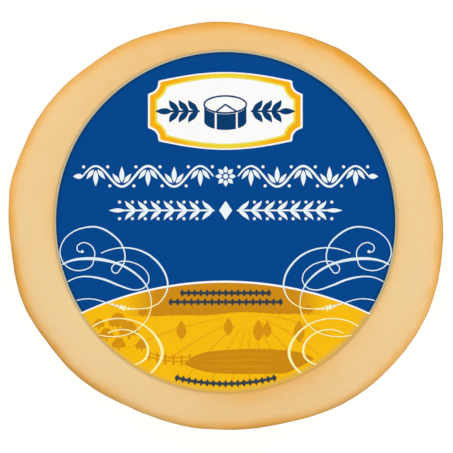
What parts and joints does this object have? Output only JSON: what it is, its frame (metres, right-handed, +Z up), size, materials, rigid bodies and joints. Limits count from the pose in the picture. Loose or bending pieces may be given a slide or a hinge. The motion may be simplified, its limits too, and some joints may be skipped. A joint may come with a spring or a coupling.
{
  "type": "smoked provolone cheese",
  "caption": "Small whole smoked provolone: a soft-edged pressed disc lying on its back, with a round printed label stuck on its upper face.",
  "frame": {"origin": "under the middle of the disc, at the flat under face that it rests on", "axes": "+Z up out of the labelled face, +Y towards the top of the label, +X to the right as the label is read"},
  "size_m": [0.13, 0.122, 0.0375],
  "materials": {
    "rind": "satin",
    "label_paper": "satin",
    "ink_blue": "satin",
    "ink_gold": "satin",
    "ink_ochre": "satin",
    "ink_white": "satin",
    "ink_pale": "satin",
    "ink_navy": "satin"
  },
  "bodies": {
    "root": {"cheese": "rind", "label": "label_paper"}
  },
  "joints": []
}
